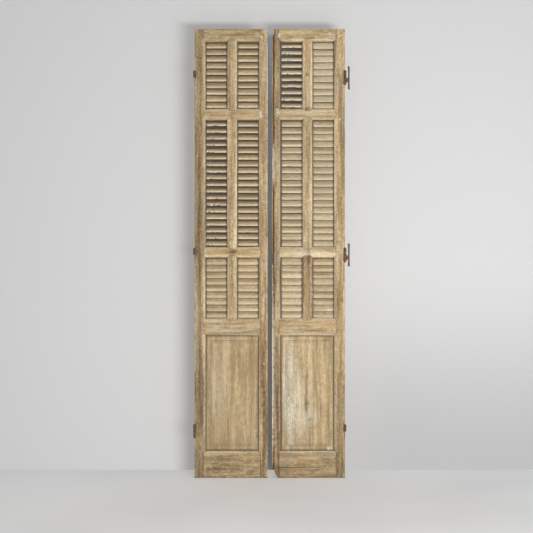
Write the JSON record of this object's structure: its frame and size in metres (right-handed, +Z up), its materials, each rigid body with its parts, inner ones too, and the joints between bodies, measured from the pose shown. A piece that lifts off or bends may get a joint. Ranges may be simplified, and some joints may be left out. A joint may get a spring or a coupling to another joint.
{
  "type": "louvred shutters",
  "caption": "Pair of old framed wooden shutter leaves with sloping louvres above, a raised panel below, and rusty iron pin hinges on the outer edges.",
  "frame": {"origin": "foot of the pair, midway between the leaves and midway through their thickness", "axes": "+Z up the leaves, +X to the right seen from the front, +Y from the front to the back"},
  "size_m": [0.8384, 0.0559, 2.3995],
  "materials": {
    "frame_pine": "bare weathered wood",
    "slat_pine": "bare weathered wood",
    "panel_pine": "bare weathered wood",
    "rusty_iron": "rusted"
  },
  "bodies": {
    "leaves": {"left_hinge_stile": "frame_pine", "left_meeting_stile": "frame_pine", "left_top_rail": "frame_pine", "left_upper_rail": "frame_pine", "left_middle_rail": "frame_pine", "left_lock_rail": "frame_pine", "left_bottom_rail": "frame_pine", "left_upper_mullion": "frame_pine", "left_middle_mullion": "frame_pine", "left_lower_mullion": "frame_pine", "left_panel": "panel_pine", "left_upper_outer_slats": "slat_pine", "left_upper_inner_slats": "slat_pine", "left_middle_outer_slats": "slat_pine", "left_middle_inner_slats": "slat_pine", "left_lower_outer_slats": "slat_pine", "left_lower_inner_slats": "slat_pine", "left_upper_hinge": "rusty_iron", "left_middle_hinge": "rusty_iron", "left_lower_hinge": "rusty_iron", "right_hinge_stile": "frame_pine", "right_meeting_stile": "frame_pine", "right_top_rail": "frame_pine", "right_upper_rail": "frame_pine", "right_middle_rail": "frame_pine", "right_lock_rail": "frame_pine", "right_bottom_rail": "frame_pine", "right_upper_mullion": "frame_pine", "right_middle_mullion": "frame_pine", "right_lower_mullion": "frame_pine", "right_panel": "panel_pine", "right_upper_outer_slats": "slat_pine", "right_upper_inner_slats": "slat_pine", "right_middle_outer_slats": "slat_pine", "right_middle_inner_slats": "slat_pine", "right_lower_outer_slats": "slat_pine", "right_lower_inner_slats": "slat_pine", "right_upper_hinge": "rusty_iron", "right_middle_hinge": "rusty_iron", "right_lower_hinge": "rusty_iron", "left_lower_hinge_pin": "rusty_iron", "left_lower_knuckle_stump": "rusty_iron", "hinge_screws": "rusty_iron", "tenon_pegs": "frame_pine"},
    "upper_wall_plate": {"right_upper_wall_plate": "rusty_iron", "right_upper_hinge_pin": "rusty_iron"},
    "middle_wall_plate": {"right_middle_wall_plate": "rusty_iron", "right_middle_hinge_pin": "rusty_iron"}
  },
  "joints": [
    {"name": "upper_wall_plate_swing", "type": "hinge", "parent": "leaves", "child": "upper_wall_plate", "pos_m": [0.402, -0.0266, 2.1385], "axis": [0, 0, 1], "range_deg": [-160, 20]},
    {"name": "middle_wall_plate_swing", "type": "hinge", "parent": "leaves", "child": "middle_wall_plate", "pos_m": [0.402, -0.0266, 1.192], "axis": [0, 0, 1], "range_deg": [-160, 20]}
  ]
}
